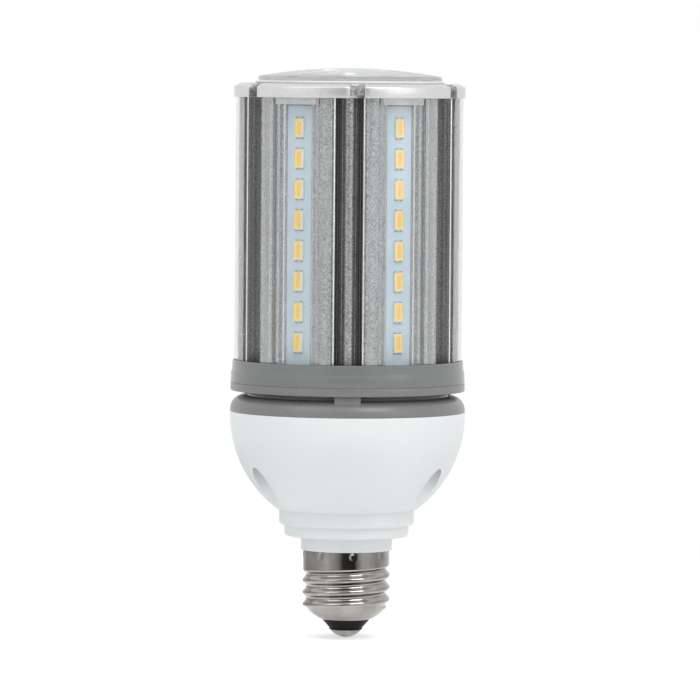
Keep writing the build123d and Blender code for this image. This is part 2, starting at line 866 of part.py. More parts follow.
# One file for each piece
pieces = {
    "base_contact": base_contact.part,
    "base_insulator": base_insulator.part,
    "base_shell": base_shell.part,
    "driver_housing": driver_housing.part,
    "driver_lid": driver_lid.part,
    "collar_base": collar_base.part,
    "collar": collar.part,
    "heat_sink": heat_sink.part,
    "top_cap": top_cap.part,
    "top_lens": top_lens.part,
    "top_board": top_board.part,
    "top_packages": top_packages.part,
    "top_phosphor": top_phosphor.part,
    "housing_screws": housing_screws.part,
    "heat_sink_screws": heat_sink_screws.part,
    "cap_screws": cap_screws.part,
    "driver_board": driver_board.part,
    "transformer": transformer.part,
    "capacitor": capacitor.part,
    "choke": choke.part,
    "live_lead": live_lead.part,
    "neutral_lead": neutral_lead.part,
    "dc_leads": dc_leads.part,
}
for side_index in range(panel_count):
    pieces[f"led_board_{side_index + 1}"] = led_boards[side_index]
    pieces[f"led_packages_{side_index + 1}"] = led_packages[side_index]
    pieces[f"led_phosphor_{side_index + 1}"] = led_phosphors[side_index]
    pieces[f"led_cover_{side_index + 1}"] = led_covers[side_index]

os.makedirs("parts", exist_ok=True)
for name, piece in pieces.items():
    piece.label = name
    export_step(piece, f"parts/{name}.step")
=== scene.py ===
# %% [markdown]
# # A column-shaped LED lamp, dressed for its picture
# The construction of the lamp is already made to size: a screw base, a white driver housing, grey
# collars, a slotted aluminium heat sink, LED strips and clear covers. This lesson adds what the eye looks
# for: rounded edges, a rolled thread, small electronic parts and a true finish on every surface.

# %% Load the lamp as a fixed frame
import json
from math import cos, hypot, radians, sin, sqrt, tau

import bmesh
import bpy
from mathutils import Matrix, Vector

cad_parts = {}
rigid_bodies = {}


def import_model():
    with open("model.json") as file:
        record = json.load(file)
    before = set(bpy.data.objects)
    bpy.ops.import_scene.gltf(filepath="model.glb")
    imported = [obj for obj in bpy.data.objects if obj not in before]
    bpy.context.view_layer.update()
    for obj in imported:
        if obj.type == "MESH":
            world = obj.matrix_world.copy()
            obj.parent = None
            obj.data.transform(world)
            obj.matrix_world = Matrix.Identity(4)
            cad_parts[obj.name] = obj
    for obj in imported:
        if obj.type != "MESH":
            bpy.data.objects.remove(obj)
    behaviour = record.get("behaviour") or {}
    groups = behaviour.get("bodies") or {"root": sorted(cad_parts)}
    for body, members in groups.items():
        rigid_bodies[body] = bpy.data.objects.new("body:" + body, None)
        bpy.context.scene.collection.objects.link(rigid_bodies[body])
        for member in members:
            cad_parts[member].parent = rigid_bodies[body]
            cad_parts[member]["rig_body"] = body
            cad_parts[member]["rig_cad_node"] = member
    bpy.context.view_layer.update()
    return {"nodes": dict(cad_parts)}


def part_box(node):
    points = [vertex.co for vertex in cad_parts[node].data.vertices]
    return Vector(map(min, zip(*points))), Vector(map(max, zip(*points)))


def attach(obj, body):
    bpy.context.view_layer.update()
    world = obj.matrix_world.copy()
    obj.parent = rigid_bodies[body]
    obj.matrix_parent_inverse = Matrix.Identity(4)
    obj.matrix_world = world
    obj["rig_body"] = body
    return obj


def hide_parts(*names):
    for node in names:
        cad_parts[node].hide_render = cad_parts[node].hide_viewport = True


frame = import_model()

MM = 0.001
scene = bpy.context.scene

# %% [markdown]
# ## The camera
# The picture was taken from a little over a metre and a half away, level with the top of the lamp and
# pointed slightly down. A long lens gives the same near-parallel sides. The lamp leans by less than half
# a degree in the picture, which is a small roll of the camera and not a tilt of the lamp.

# %% Camera at the picture's viewing angle
CAMERA_DISTANCE = 1640 * MM
EYE_HEIGHT = 172 * MM
AIM_HEIGHT = 85.8 * MM
AIM_SIDE = 0.63 * MM
PICTURE_WIDTH = 208.6 * MM
CAMERA_ROLL = radians(0.45)
SENSOR_WIDTH = 36.0
CLIP_END = 100.0

aim = Vector((AIM_SIDE, 0, AIM_HEIGHT))
bpy.ops.object.camera_add(location=(0, -CAMERA_DISTANCE, EYE_HEIGHT))
camera = bpy.context.active_object
camera.name = "camera"
sight = aim - camera.location
turn = sight.to_track_quat("-Z", "Y").to_matrix().to_4x4() @ Matrix.Rotation(CAMERA_ROLL, 4, "Z")
camera.rotation_euler = turn.to_euler()
camera.data.sensor_width = SENSOR_WIDTH
camera.data.lens = SENSOR_WIDTH * sight.length / PICTURE_WIDTH
camera.data.clip_end = CLIP_END
scene.camera = camera
print("camera:", round(camera.data.lens), "mm lens,", round(sight.length, 3), "m away")

# %% [markdown]
# ## Small tools for the hand work
# An operator acts on everything that is selected, so each tool starts by deselecting all. Faces and edges
# are then picked in code by where they lie, as a hand would pick them with the mouse.

# %% Selecting, entering and leaving edit mode
def only(piece):
    """Select one piece and make it the active one."""
    bpy.ops.object.select_all(action="DESELECT")
    piece.select_set(True)
    bpy.context.view_layer.objects.active = piece


def edit(piece):
    """Go into edit mode on one piece, with nothing selected."""
    only(piece)
    bpy.ops.object.mode_set(mode="EDIT")
    bpy.ops.mesh.select_all(action="DESELECT")


def leave():
    """Go back to object mode."""
    bpy.ops.object.mode_set(mode="OBJECT")


def pick(piece, kind, test):
    """In edit mode, select the vertices, edges or faces that pass a test, and count them."""
    mesh = bmesh.from_edit_mesh(piece.data)
    bpy.ops.mesh.select_mode(type=kind)
    for parts in (mesh.verts, mesh.edges, mesh.faces):
        for part in parts:
            part.select = False
    found = {"VERT": mesh.verts, "EDGE": mesh.edges, "FACE": mesh.faces}[kind]
    count = 0
    for part in found:
        if test(part):
            part.select_set(True)
            count += 1
    mesh.select_flush_mode()
    bmesh.update_edit_mesh(piece.data)
    return count


def settle(piece):
    """Put the piece's place into its mesh, so that the object sits at the origin, unturned and unscaled."""
    only(piece)
    bpy.ops.object.transform_apply(location=True, rotation=True, scale=True)


def block(name, size, middle):
    """A box of a given size with its middle at a given place."""
    bpy.ops.object.select_all(action="DESELECT")
    bpy.ops.mesh.primitive_cube_add(size=1, location=middle)
    piece = bpy.context.active_object
    piece.name = name
    piece.scale = size
    settle(piece)
    return piece


def joined(parts, name):
    """Join several pieces into one."""
    bpy.ops.object.select_all(action="DESELECT")
    for part in parts:
        part.select_set(True)
    bpy.context.view_layer.objects.active = parts[0]
    bpy.ops.object.join()
    whole = bpy.context.active_object
    whole.name = name
    return whole


def copies(model, places, name):
    """One piece made of a copy of the model at every place."""
    parts = []
    for place in places:
        part = model.copy()
        part.data = model.data.copy()
        part.data.transform(place)
        scene.collection.objects.link(part)
        parts.append(part)
    return joined(parts, name)


def smooth(piece, angle=35):
    """Shade smooth, but keep edges sharper than the angle crisp."""
    only(piece)
    bpy.ops.object.shade_smooth_by_angle(angle=radians(angle))


def stand_in(piece, node):
    """Let a piece stand for a construction piece: hang it on the root body where it is, and hide the
    original.
    """
    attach(piece, "root")
    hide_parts(node)


print("tools ready")

# %% [markdown]
# ## Dressed copies of the turned and moulded pieces
# A moulded or turned edge is never razor sharp: it has a radius of a few tenths of a millimetre that
# catches the light. The construction pieces are loose triangles with sharp edges, so each visible one is
# copied, its triangles are welded, and a narrow bevel rounds the edges. The copy then stands for the
# original.

# %% Copy a piece, weld it and round its edges
WELD = 0.002 * MM
EDGE_SEGMENTS = 2
SHARP_ANGLE = radians(50)


def dressed(node, edge=0.0):
    """Copy one construction piece, weld it, round its edges and let the copy stand for the original."""
    only(frame["nodes"][node])
    bpy.ops.object.duplicate()
    piece = bpy.context.active_object
    piece.name = node + "_dressed"
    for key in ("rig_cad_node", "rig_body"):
        del piece[key]
    edit(piece)
    bpy.ops.mesh.customdata_custom_splitnormals_clear()
    bpy.ops.mesh.select_all(action="SELECT")
    bpy.ops.mesh.remove_doubles(threshold=WELD)
    leave()
    if edge:
        rounding = piece.modifiers.new("edge", "BEVEL")
        rounding.width = edge
        rounding.segments = EDGE_SEGMENTS
        rounding.limit_method = "ANGLE"
        rounding.angle_limit = SHARP_ANGLE
        rounding.use_clamp_overlap = True
        bpy.ops.object.modifier_apply(modifier=rounding.name)
    smooth(piece)
    stand_in(piece, node)
    return piece


EDGES = {
    "driver_housing": 0.25 * MM,
    "driver_lid": 0.2 * MM,
    "collar_base": 0.2 * MM,
    "collar": 0.15 * MM,
    "top_cap": 0.2 * MM,
    "top_lens": 0.15 * MM,
    "base_insulator": 0.1 * MM,
    "base_contact": 0.0,
}
SIDES = range(1, 7)
pieces = {node: dressed(node, edge) for node, edge in EDGES.items()}
for node, piece in pieces.items():
    print(node, len(piece.data.polygons), "faces")

# %% [markdown]
# ## Collar
# The wall of the upper collar has a small soft step: above it the wall stands back a little, and the
# slope of the step faces up and catches the lights as a pale band. The wall is cut into narrow rings at
# the height of the step, and every point above its foot is drawn in.

# %% Step in the wall of the collar
STEP_LOW, STEP_HIGH = 79.0 * MM, 80.4 * MM
STEP_DEPTH = 0.25 * MM
STEP_RINGS = 6
COLLAR_OUTSIDE = 34.2 * MM

collar = pieces["collar"]
edit(collar)
for n in range(STEP_RINGS + 1):
    height = STEP_LOW + (STEP_HIGH - STEP_LOW) * n / STEP_RINGS
    bpy.ops.mesh.select_all(action="SELECT")
    bpy.ops.mesh.bisect(plane_co=(0, 0, height), plane_no=(0, 0, 1))
leave()
drawn = 0
for point in collar.data.vertices:
    radius = hypot(point.co.x, point.co.y)
    share = min(1, (point.co.z - STEP_LOW) / (STEP_HIGH - STEP_LOW))
    if radius > COLLAR_OUTSIDE and share > 0:
        slimmer = 1 - STEP_DEPTH * (0.5 - 0.5 * cos(tau / 2 * share)) / radius
        point.co.x *= slimmer
        point.co.y *= slimmer
        drawn += 1
smooth(collar)
print("collar:", len(collar.data.polygons), "faces,", drawn, "points drawn in")

# %% [markdown]
# ## Heat sink
# The heat sink is an extrusion, so only its upright edges are rounded: the die leaves a small radius
# along them, and the saw leaves both ends sharp. The thin bright lines along every lip and slot are what
# makes it read as metal; they are painted highlights, a paler metal on the rounded edges. The lips that
# hold each board slope down to it. The walls of the channels that hold the legs of the covers are painted
# as bright as the edges. The sides of the grooves are darkened by painted shade, and a number on each
# point says how much.

# %% Directions on each side of the lamp
NEAR = 0.05 * MM
UPRIGHT_SHARE = 0.99
OUTER_ANGLE = radians(40)
LEVEL_SHARE = 0.5


def side_axes(side):
    """The two level directions of one side of the lamp: straight out, and across."""
    angle = tau * (side - 1) / 6
    return Vector((cos(angle), sin(angle), 0)), Vector((-sin(angle), cos(angle), 0))


def upright(edge):
    """True for an edge along the extrusion where two faces meet at a clear outer angle."""
    run = edge.verts[1].co - edge.verts[0].co
    if abs(run.z) <= UPRIGHT_SHARE * run.length or not edge.is_convex:
        return False
    return edge.calc_face_angle() > OUTER_ANGLE


def stands(face):
    """True for a face that stands upright."""
    return abs(face.normal.z) < LEVEL_SHARE


print("directions of", len(SIDES), "sides ready")

# %% Clean the flat faces
FLAT_ANGLE = radians(1)

sink = dressed("heat_sink")
pieces["heat_sink"] = sink
edit(sink)
bpy.ops.mesh.select_all(action="SELECT")
bpy.ops.mesh.dissolve_limited(angle_limit=FLAT_ANGLE)
leave()
print("heat sink:", len(sink.data.polygons), "faces")

# %% Slope the lips, round the upright edges and paint highlights on them
LIP_TOP = 29.7 * MM
LIP_INNER = 4.15 * MM
LIP_SLOPE = 0.55 * MM
SINK_EDGE = 0.24 * MM
CHANNEL_LOW, CHANNEL_HIGH = 28.9 * MM, 31.7 * MM
CHANNEL_INNER, CHANNEL_OUTER = 6.3 * MM, 8.2 * MM
LAND_RADIUS = 32.573 * MM
GROOVE_HALF = 6.0 * MM
GROOVE_FLOOR = 25.0 * MM
BEAD_HALF = 2.4 * MM


def groove_share(place):
    """Nought on the lands, and from nought in the middle of a groove to one at its sides."""
    flat = place.to_2d()
    for side in SIDES:
        turn = tau * (side - 0.5) / 6
        along = flat.dot(Vector((cos(turn), sin(turn))))
        aside = abs(flat.dot(Vector((-sin(turn), cos(turn)))))
        if along > GROOVE_FLOOR and aside < GROOVE_HALF and flat.length < LAND_RADIUS - NEAR:
            return min(aside / BEAD_HALF, 1) ** 2
    return 0


def highlight_edge(edge):
    """True for an outer upright edge that is not deep in a groove."""
    return upright(edge) and groove_share((edge.verts[0].co + edge.verts[1].co) / 2) == 0


def in_channel(face):
    """True for the walls and the floor of the channels that hold the legs of the covers."""
    middle = face.calc_center_median()
    for side in SIDES:
        out, across = side_axes(side)
        reach, aside = middle.dot(out), abs(middle.dot(across))
        if CHANNEL_LOW < reach < CHANNEL_HIGH and CHANNEL_INNER < aside < CHANNEL_OUTER:
            return stands(face)
    return False


def lip_edge(edge):
    """True for the edge of a lip towards its board."""
    middle = (edge.verts[0].co + edge.verts[1].co) / 2
    for side in SIDES:
        out, across = side_axes(side)
        if abs(middle.dot(out) - LIP_TOP) < NEAR and abs(abs(middle.dot(across)) - LIP_INNER) < NEAR:
            return upright(edge)
    return False


edit(sink)
lips = pick(sink, "EDGE", lip_edge)
bpy.ops.mesh.bevel(offset=LIP_SLOPE, segments=1, affect="EDGES", clamp_overlap=False)
corners = pick(sink, "EDGE", highlight_edge)
bpy.ops.mesh.bevel(offset=SINK_EDGE, segments=2, affect="EDGES", clamp_overlap=False)
# The rounded edges, and then the channel walls, take a second, paler metal: a painted highlight.
bpy.ops.object.material_slot_add()
bpy.ops.object.material_slot_assign()
channels = pick(sink, "FACE", in_channel)
bpy.ops.object.material_slot_assign()
leave()
smooth(sink, angle=40)
print("heat sink:", lips, "lips sloped,", corners, "edges rounded,", channels, "channel faces bright")

# %% Note how deep in a groove each point lies
# How deep in a groove each point lies sets the painted shade on the sides of the grooves.
groove_shade = sink.data.attributes.new("groove_shade", "FLOAT", "POINT")
for index, point in enumerate(sink.data.vertices):
    groove_shade.data[index].value = groove_share(point.co)
print("heat sink:", sum(entry.value > 0 for entry in groove_shade.data), "points in grooves")

# %% [markdown]
# ## Cap
# Under the cap hang six ribs that hold the covers from inside. In the picture each one fills the width
# between the legs of its cover, so the ends of the ribs are drawn out sideways. The faces in the notches
# between the tabs of the cap get a finish of their own, rougher than the blasted outside and darker with
# painted shade in the recesses. The pale line round the foot of the lens is a painted highlight, made as
# a soft white ring.

# %% Widen the ribs and mark the notches
CAP_LOW, CAP_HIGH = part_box("top_cap")
RIB_HEIGHT = 2.3 * MM
RIB_INNER, RIB_OUTER = 30.3 * MM, 31.7 * MM
RIB_END, RIB_LIMIT = 4.8 * MM, 5.8 * MM
RIB_GROWTH = 1.4 * MM
NOTCH_DEPTH = 0.35 * MM
RECESS_RADIUS = 28.5 * MM
NOTCH_FACING = -0.3

cap = pieces["top_cap"]
moved = 0
for point in cap.data.vertices:
    for side in SIDES:
        out, across = side_axes(side)
        reach, aside = point.co.dot(out), point.co.dot(across)
        hangs = RIB_INNER < reach < RIB_OUTER and point.co.z < CAP_LOW.z + RIB_HEIGHT
        if hangs and RIB_END < abs(aside) < RIB_LIMIT:
            point.co += across * (RIB_GROWTH if aside > 0 else -RIB_GROWTH)
            moved += 1
            break


def in_notch(face):
    """True for the upright faces of the notches, which lie behind the outside of the cap."""
    middle = face.calc_center_median()
    radius = hypot(middle.x, middle.y)
    outward = (face.normal.x * middle.x + face.normal.y * middle.y) / radius
    behind = RECESS_RADIUS < radius < CAP_HIGH.x - NOTCH_DEPTH
    above = middle.z > CAP_LOW.z + RIB_HEIGHT
    return behind and above and stands(face) and outward > NOTCH_FACING


# The faces in the notches take a second, darker metal: painted shade in the recesses.
edit(cap)
marked = pick(cap, "FACE", in_notch)
bpy.ops.object.material_slot_add()
bpy.ops.object.material_slot_assign()
leave()
print("cap:", moved, "points of ribs moved,", marked, "faces in notches")

# %% White ring round the foot of the lens, a painted highlight
HIGHLIGHT_RING_RADIUS = 0.36 * MM
HIGHLIGHT_RING_AIR = 0.03 * MM
HIGHLIGHT_RING_STEPS, HIGHLIGHT_RING_SECTION = 120, 12

bpy.ops.object.select_all(action="DESELECT")
bpy.ops.mesh.primitive_torus_add(
    major_radius=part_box("top_lens")[1].x + HIGHLIGHT_RING_RADIUS + HIGHLIGHT_RING_AIR,
    minor_radius=HIGHLIGHT_RING_RADIUS,
    major_segments=HIGHLIGHT_RING_STEPS,
    minor_segments=HIGHLIGHT_RING_SECTION,
    location=(0, 0, CAP_HIGH.z + HIGHLIGHT_RING_RADIUS + HIGHLIGHT_RING_AIR),
)
highlight_ring = bpy.context.active_object
highlight_ring.name = "lens_seal"
settle(highlight_ring)
smooth(highlight_ring, angle=60)
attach(highlight_ring, "root")
pieces["lens_seal"] = highlight_ring
print("seal:", len(highlight_ring.data.polygons), "faces")

# %% [markdown]
# ## Clear covers
# A cover is a thin clear arch from groove to groove, on two legs that stand in the channel of the heat
# sink. In the picture the far half of each side is smooth and pale and the near half shows its grain:
# that is a clear sheet which mirrors the white room at a low angle and hardly at all from the front. The
# construction model has only the narrow arch between the legs, so the wide one is modelled here. A hair
# of air stays between plastic and metal. The wings beyond the legs take a finish of their own.

# %% One clear cover
COVER_LOW, COVER_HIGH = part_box("led_cover_1")
ARCH_COLUMNS = [n * 0.805 * MM for n in range(11)]
WING_COLUMNS = [8.15 * MM, 9 * MM, 10 * MM, 11 * MM, 12 * MM]
COVER_COLUMNS = ARCH_COLUMNS + WING_COLUMNS
COVER_RISE = 2.75 * MM
COVER_WALL = 0.6 * MM
COVER_EDGE = 0.12 * MM
COVER_AIR = 0.06 * MM
HAZE_START = 8.1 * MM
LEG_MIDDLE = 7.55 * MM
LEG_WIDTH = 0.9 * MM
LEG_TOP = 31.9 * MM
COVER_HALF = COVER_COLUMNS[-1]
ARCH_RADIUS = (COVER_HALF ** 2 + COVER_RISE ** 2) / (2 * COVER_RISE)
ARCH_CENTRE = COVER_HIGH.x - ARCH_RADIUS
COVER_LENGTH = COVER_HIGH.z - COVER_LOW.z - 2 * COVER_AIR
COVER_MIDDLE = (COVER_LOW.z + COVER_HIGH.z) / 2

columns = [-place for place in COVER_COLUMNS[:0:-1]] + COVER_COLUMNS
bpy.ops.object.select_all(action="DESELECT")
bpy.ops.mesh.primitive_grid_add(x_subdivisions=len(columns) - 1, y_subdivisions=1, size=2)
arch = bpy.context.active_object
sheet = arch.modifiers.new("sheet", "SOLIDIFY")
sheet.thickness = COVER_WALL
sheet.offset = -1
bpy.ops.object.modifier_apply(modifier=sheet.name)
for point in arch.data.vertices:
    across = columns[round((point.co.x + 1) / 2 * (len(columns) - 1))]
    height = COVER_MIDDLE + COVER_LENGTH / 2 * point.co.y
    reach = ARCH_CENTRE + sqrt(ARCH_RADIUS ** 2 - across ** 2)
    if point.co.z < 0:
        reach = ARCH_CENTRE + sqrt((ARCH_RADIUS - COVER_WALL) ** 2 - across ** 2)
    point.co = (reach, across, height)
leg_low = COVER_LOW.x + COVER_AIR
leg_size = (LEG_TOP - leg_low, LEG_WIDTH, COVER_LENGTH)
parts = [arch]
for hand in (-1, 1):
    middle = ((LEG_TOP + leg_low) / 2, hand * LEG_MIDDLE, COVER_MIDDLE)
    parts.append(block("leg", leg_size, middle))
cover = joined(parts, "cover")
edit(cover)
rounded = pick(cover, "EDGE", upright)
bpy.ops.mesh.bevel(offset=COVER_EDGE, segments=2, affect="EDGES")
bpy.ops.object.material_slot_add()
bpy.ops.object.material_slot_add()
hazy = pick(cover, "FACE", lambda face: abs(face.calc_center_median().y) > HAZE_START)
bpy.ops.object.material_slot_assign()
leave()
smooth(cover, angle=40)
print("cover:", len(cover.data.polygons), "faces,", rounded, "edges rounded,", hazy, "faces hazy")

# %% A cover on every side
for side in SIDES:
    node = f"led_cover_{side}"
    pieces[node] = copies(cover, [Matrix.Rotation(tau * (side - 1) / 6, 4, "Z")], node + "_dressed")
    stand_in(pieces[node], node)
bpy.data.objects.remove(cover)
print("covers:", len(SIDES))

# %% [markdown]
# ## Screw shell
# The shell is drawn from thin sheet and its thread is rolled in, so crest and root are one soft wave and
# not a cut ridge. A grid of points is wrapped round the axis and its radius follows a formula: a toe that
# opens from the lip, a wave that climbs one pitch per turn, and a plain skirt. At the back the wave runs
# out into the skirt. Small punch marks near the top edge hold the shell on the housing.

# %% Radius of the rolled shell
SHELL_LOW, SHELL_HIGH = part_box("base_shell")
CREST_RADIUS = SHELL_HIGH.x
THREAD_DEPTH = 1.1 * MM
THREAD_PITCH = 3.629 * MM
ROOT_RADIUS = CREST_RADIUS - THREAD_DEPTH
SKIRT_INSET = 0.2 * MM
SKIRT_RADIUS = CREST_RADIUS - SKIRT_INSET
LIP_RADIUS = 8.0 * MM
TOE_RISE = 4.0 * MM
TOE_BULGE = 0.83
THREAD_START, THREAD_FADE = 0.62 * TOE_RISE, 0.4 * TOE_RISE
CREST_RISE = 2.34 * MM
CREST_TURN = 0.25
FIRST_CREST = SHELL_LOW.z + CREST_RISE
LAST_ROOT = 2.5
SKIRT_FLANK = 0.55
RUNOUT_TURN = 60 / 360
PUNCH_DROP = 1.4 * MM
PUNCH_HEIGHT = SHELL_HIGH.z - PUNCH_DROP
PUNCH_COUNT = 8
PUNCH_TURN = radians(8)
PUNCH_WIDTH = 1.0 * MM
PUNCH_LENGTH = 1.3 * MM
PUNCH_DEPTH = 0.3 * MM
PUNCH_SOFTNESS = 1.2


def ease(value):
    """A soft step from nought to one."""
    value = min(max(value, 0), 1)
    return value * value * (3 - 2 * value)


def shell_radius(turn, height):
    """Radius of the shell at a share of a turn from the back, and at a height."""
    rise = height - SHELL_LOW.z
    share = min(rise / TOE_RISE, 1)
    body = LIP_RADIUS + (ROOT_RADIUS - LIP_RADIUS) * share * (1 + TOE_BULGE - TOE_BULGE * share)
    crests = (height - FIRST_CREST) / THREAD_PITCH - turn - CREST_TURN
    wave = 0.5 + 0.5 * cos(tau * crests)
    thread = body + THREAD_DEPTH * wave * ease((rise - THREAD_START) / THREAD_FADE)
    end = crests + ease((turn - 1 + RUNOUT_TURN) / RUNOUT_TURN)
    skirt = ease((end - LAST_ROOT) / SKIRT_FLANK)
    return thread + (SKIRT_RADIUS - thread) * skirt


def punch(angle, height):
    """Depth of the punch marks at a place on the skirt."""
    step = tau / PUNCH_COUNT
    aside = ((angle - PUNCH_TURN + step / 2) % step - step / 2) * SKIRT_RADIUS
    away = hypot(aside / PUNCH_WIDTH, (height - PUNCH_HEIGHT) / PUNCH_LENGTH)
    return PUNCH_DEPTH * ease(PUNCH_SOFTNESS - away)


print("skirt radius:", round(SKIRT_RADIUS / MM, 2), "mm")

# %% Wrap a grid into the rolled shell
SHELL_COLUMNS = 216
SHELL_ROWS = 132
SHELL_WALL = 0.4 * MM

bpy.ops.object.select_all(action="DESELECT")
bpy.ops.mesh.primitive_grid_add(x_subdivisions=SHELL_COLUMNS, y_subdivisions=SHELL_ROWS, size=2)
shell = bpy.context.active_object
shell.name = "rolled_shell"
for point in shell.data.vertices:
    turn = (point.co.x + 1) / 2
    angle = radians(90) + tau * turn
    height = SHELL_LOW.z + (SHELL_HIGH.z - SHELL_LOW.z) * (point.co.y + 1) / 2
    radius = shell_radius(turn, height) - punch(angle, height)
    point.co = (radius * cos(angle), radius * sin(angle), height)
edit(shell)
bpy.ops.mesh.select_all(action="SELECT")
bpy.ops.mesh.remove_doubles(threshold=WELD)
bpy.ops.mesh.normals_make_consistent(inside=False)
leave()
sheet = shell.modifiers.new("sheet", "SOLIDIFY")
sheet.thickness = SHELL_WALL
sheet.offset = -1
bpy.ops.object.modifier_apply(modifier=sheet.name)
smooth(shell, angle=60)
stand_in(shell, "base_shell")
pieces["base_shell"] = shell
print("shell:", len(shell.data.polygons), "faces")

# %% [markdown]
# ## LEDs
# An LED package is a white moulded block with a shallow cup, two tinned feet at each end and yellow
# phosphor gel in the cup. One of each is modelled at the origin, facing up. The cup is an inset of the
# top face that is pushed down, so its walls slope and throw the light out.

# %% One LED package
LED_LENGTH = 5.6 * MM
LED_WIDTH = 3.0 * MM
LED_HEIGHT = 0.85 * MM
LED_RIM = 0.28 * MM
LED_EDGE = 0.08 * MM
CUP_DEPTH = 0.3 * MM
CUP_SLOPE = 0.14 * MM
FACING_UP = 0.9

package = block("package", (LED_WIDTH, LED_LENGTH, LED_HEIGHT), (0, 0, LED_HEIGHT / 2))
edit(package)
pick(package, "EDGE", lambda edge: edge.verts[0].co.z + edge.verts[1].co.z > LED_HEIGHT / 2)
bpy.ops.mesh.bevel(offset=LED_EDGE, segments=2, affect="EDGES")
pick(package, "FACE", lambda face: face.normal.z > FACING_UP)
bpy.ops.mesh.inset(thickness=LED_RIM - LED_EDGE)
bpy.ops.mesh.inset(thickness=CUP_SLOPE, depth=-CUP_DEPTH)
leave()
smooth(package, angle=40)
print("package:", len(package.data.polygons), "faces")

# %% Its tinned feet
FOOT_WIDTH = 0.9 * MM
FOOT_REACH = 0.4 * MM
FOOT_HEIGHT = 0.32 * MM
FOOT_SPACING = 1.7 * MM
FOOT_EDGE = 0.15 * MM

feet = []
for end in (-1, 1):
    for side in (-1, 1):
        middle = (side * FOOT_SPACING / 2, end * LED_LENGTH / 2, FOOT_HEIGHT / 2)
        feet.append(block("foot", (FOOT_WIDTH, 2 * FOOT_REACH, FOOT_HEIGHT), middle))
feet = joined(feet, "feet")
edit(feet)
pick(feet, "EDGE", lambda edge: all(v.co.z > FOOT_HEIGHT / 2 for v in edge.verts))
bpy.ops.mesh.bevel(offset=FOOT_EDGE, segments=2, affect="EDGES")
leave()
smooth(feet, angle=60)
print("feet:", len(feet.data.polygons), "faces")

# %% Its phosphor gel, lower in the middle than at the rim
GEL_DROP = 0.1 * MM
GEL_SAG = 0.06 * MM
GEL_THICKNESS = 0.12 * MM
GEL_COLUMNS, GEL_ROWS = 8, 14
GEL_HALF_WIDTH = LED_WIDTH / 2 - LED_RIM - CUP_SLOPE * GEL_DROP / CUP_DEPTH
GEL_HALF_LENGTH = GEL_HALF_WIDTH + (LED_LENGTH - LED_WIDTH) / 2

bpy.ops.object.select_all(action="DESELECT")
bpy.ops.mesh.primitive_grid_add(x_subdivisions=GEL_COLUMNS, y_subdivisions=GEL_ROWS, size=2)
gel = bpy.context.active_object
gel.name = "gel"
rim_share = gel.data.attributes.new("rim", "FLOAT", "POINT")
for index, point in enumerate(gel.data.vertices):
    across, along = point.co.x * GEL_HALF_WIDTH, point.co.y * GEL_HALF_LENGTH
    wall = min(GEL_HALF_WIDTH - abs(across), GEL_HALF_LENGTH - abs(along))
    rim_share.data[index].value = 1 - wall / GEL_HALF_WIDTH
    sag = GEL_SAG * (wall / GEL_HALF_WIDTH) ** 0.5
    point.co = (across, along, LED_HEIGHT - GEL_DROP - sag)
body = gel.modifiers.new("body", "SOLIDIFY")
body.thickness = GEL_THICKNESS
body.offset = -1
bpy.ops.object.modifier_apply(modifier=body.name)
smooth(gel, angle=50)
print("gel:", len(gel.data.polygons), "faces")

# %% [markdown]
# ## Copy the LEDs to their places
# Each side of the lamp carries one row. The rows of the construction model say how far out the boards lie
# and where the first and last LED sit, so the copies are placed from those boxes. On the top board the
# LEDs stand in a ring.

# %% Places of all LEDs
ROW_LOW, ROW_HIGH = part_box("led_packages_1")
RING_LOW, RING_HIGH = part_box("top_packages")
ROW_COUNT = 8
RING_COUNT = 8
FIRST_LED = ROW_LOW.z + LED_LENGTH / 2
LED_PITCH = (ROW_HIGH.z - ROW_LOW.z - LED_LENGTH) / (ROW_COUNT - 1)


def row_places(side):
    """Where the LEDs of one side go: width across the side, length up, face straight out."""
    out, across = side_axes(side)
    turn = Matrix((across, (0, 0, 1), out)).transposed().to_4x4()
    spots = [ROW_LOW.x * out + Vector((0, 0, FIRST_LED + n * LED_PITCH)) for n in range(ROW_COUNT)]
    return [Matrix.Translation(spot) @ turn for spot in spots]


def ring_places():
    """Where the LEDs of the top board go: length straight out, face up."""
    reach = RING_HIGH.x - LED_LENGTH / 2
    spots = [Matrix.Translation((0, reach, RING_LOW.z))] * RING_COUNT
    return [Matrix.Rotation(tau * n / RING_COUNT, 4, "Z") @ spot for n, spot in enumerate(spots)]


rows = {f"led_{{}}_{side}": row_places(side) for side in SIDES}
rows["top_{}"] = ring_places()
for name, places in rows.items():
    for model, node in ((package, name.format("packages")), (gel, name.format("phosphor"))):
        pieces[node] = copies(model, places, node + "_dressed")
        stand_in(pieces[node], node)
    pieces[name.format("feet")] = copies(feet, places, name.format("feet"))
    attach(pieces[name.format("feet")], "root")
for model in (package, gel, feet):
    bpy.data.objects.remove(model)
print("LEDs:", sum(len(places) for places in rows.values()))

# %% [markdown]
# ## Screws
# The screw heads show from below, in the pockets of the housing, and faintly through the frosted lens. A
# driver needs a cross recess, which two crossed bars cut into each head.

# %% Cut a cross into each screw head
CROSS_LENGTH = 3.0 * MM
CROSS_WIDTH = 0.7 * MM
CROSS_DEPTH = 0.9 * MM
SCREW_COUNT = 3
SCREW_EDGE = 0.15 * MM
HEAD_RADIUS = 2.7 * MM


